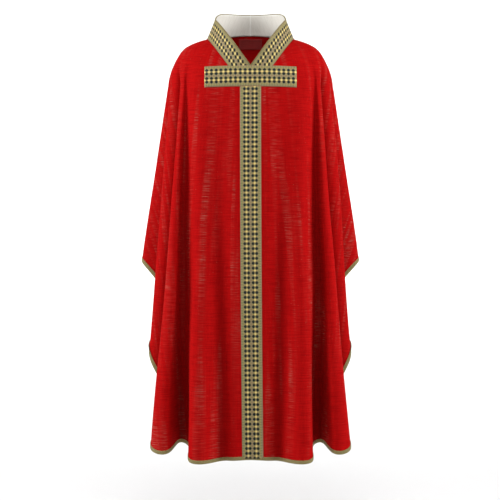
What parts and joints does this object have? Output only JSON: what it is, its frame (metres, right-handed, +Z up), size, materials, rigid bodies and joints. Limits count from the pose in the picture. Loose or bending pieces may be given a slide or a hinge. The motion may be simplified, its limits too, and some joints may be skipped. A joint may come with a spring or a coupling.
{
  "type": "chasuble",
  "caption": "Draped Gothic chasuble with a standing V collar, a tau cross of woven braid front and back, and a braided hem.",
  "frame": {"origin": "middle of the neck opening, level with the points where the shoulder seams meet the collar", "axes": "+Z up along the hanging cloth, the front faces -Y, the wearer's left arm is on +X"},
  "size_m": [0.6164, 0.4001, 1.306],
  "materials": {
    "cloth": "red wool and lurex cloth with fine slubs",
    "braid": "woven gold and green geometric braid",
    "hem_braid": "narrow gold and green edging braid",
    "thread": "old gold sewing thread",
    "canvas": "stiff unbleached canvas",
    "lining": "plain cream cotton",
    "tape": "red woven cotton tape",
    "label": "blank white satin weave"
  },
  "bodies": {
    "root": {"front_panel": "cloth", "back_panel": "cloth", "front_cross_bar": "braid", "front_orphrey": "braid", "back_cross_bar": "braid", "back_orphrey": "braid", "front_cross_stitching": "thread", "back_cross_stitching": "thread", "front_hem_braid": "hem_braid", "back_hem_braid": "hem_braid", "front_hem_facing": "tape", "back_hem_facing": "tape", "front_hem_stitching": "thread", "back_hem_stitching": "thread", "collar_braid_left": "braid", "collar_braid_right": "braid", "collar_interlining_left": "canvas", "collar_interlining_right": "canvas", "collar_lining_left": "lining", "collar_lining_right": "lining", "collar_edge_binding_left": "hem_braid", "collar_edge_binding_right": "hem_braid", "collar_stitching_left": "thread", "collar_stitching_right": "thread", "shoulder_seam_tape_left": "tape", "shoulder_seam_tape_right": "tape", "neck_label": "label"}
  },
  "joints": []
}
